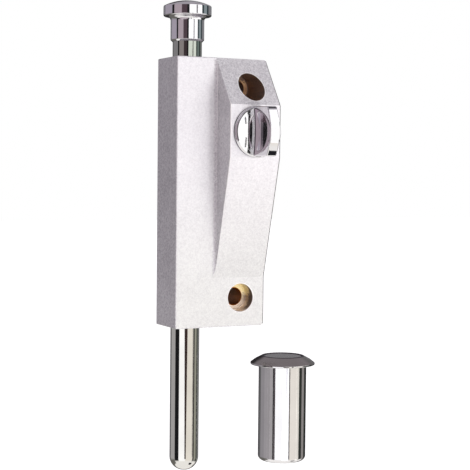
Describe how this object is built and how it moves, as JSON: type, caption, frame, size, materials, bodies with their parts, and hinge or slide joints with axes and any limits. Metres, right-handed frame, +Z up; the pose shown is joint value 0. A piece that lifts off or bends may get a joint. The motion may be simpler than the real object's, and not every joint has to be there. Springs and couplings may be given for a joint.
{
  "type": "sliding door lock",
  "caption": "Surface-fixed sliding door bolt: push-down sprung rod, thumbturn that latches the rod, wedge-shaped housing and a flanged floor socket with a sprung plunger.",
  "frame": {"origin": "centre of the housing's back face, which lies on the door", "axes": "+Y into the door, +Z up along the bolt, +X to the right seen from the front"},
  "size_m": [0.07, 0.0521, 0.1935],
  "materials": {
    "satin_casting": "satin",
    "chrome": "polished",
    "dark_chrome": "satin",
    "satin_steel": "satin",
    "zinc_plated_steel": "satin",
    "plain_steel": "satin",
    "spring_steel": "satin",
    "sintered_bronze": "satin",
    "acetal": "satin"
  },
  "bodies": {
    "housing": {"housing": "satin_casting", "back_plate": "zinc_plated_steel", "back_plate_screws": "zinc_plated_steel", "upper_bush": "acetal", "lower_bush": "acetal", "bush_pin": "plain_steel", "guide_pin": "plain_steel", "wave_washer": "spring_steel", "spring_seat": "zinc_plated_steel", "socket_cup": "chrome", "socket_flange": "dark_chrome"},
    "bolt": {"bolt_rod": "chrome", "push_knob": "chrome", "knob_stud": "plain_steel", "retaining_ring": "spring_steel", "spring_washer": "zinc_plated_steel", "return_spring": "spring_steel"},
    "turn": {"turn_knob": "chrome", "turn_spindle": "plain_steel", "crank_disc": "zinc_plated_steel", "crank_pin": "plain_steel", "crank_screw": "zinc_plated_steel"},
    "latch": {"latch_bolt": "sintered_bronze"},
    "plunger": {"socket_plunger": "satin_steel", "socket_spring": "spring_steel"}
  },
  "joints": [
    {"name": "bolt_slide", "type": "slide", "parent": "housing", "child": "bolt", "axis": [0, 0, -1], "range_m": [0, 0.015], "stiffness_N_per_m": 310, "springref_m": -0.013, "deforming": ["return_spring"]},
    {"name": "turn_hinge", "type": "hinge", "parent": "housing", "child": "turn", "pos_m": [0.0093, -0.0326, 0.0249], "axis": [0, 1, 0], "range_deg": [0, 90]},
    {"name": "latch_slide", "type": "slide", "parent": "housing", "child": "latch", "axis": [-1, 0, 0], "range_m": [0, 0.00708]},
    {"name": "plunger_slide", "type": "slide", "parent": "housing", "child": "plunger", "axis": [0, 0, -1], "range_m": [0, 0.016], "stiffness_N_per_m": 180, "springref_m": -0.012, "deforming": ["socket_spring"]}
  ],
  "couplings": [
    {"joint": "latch_slide", "follows": "turn_hinge", "m_per_rad": 0.0045016}
  ]
}
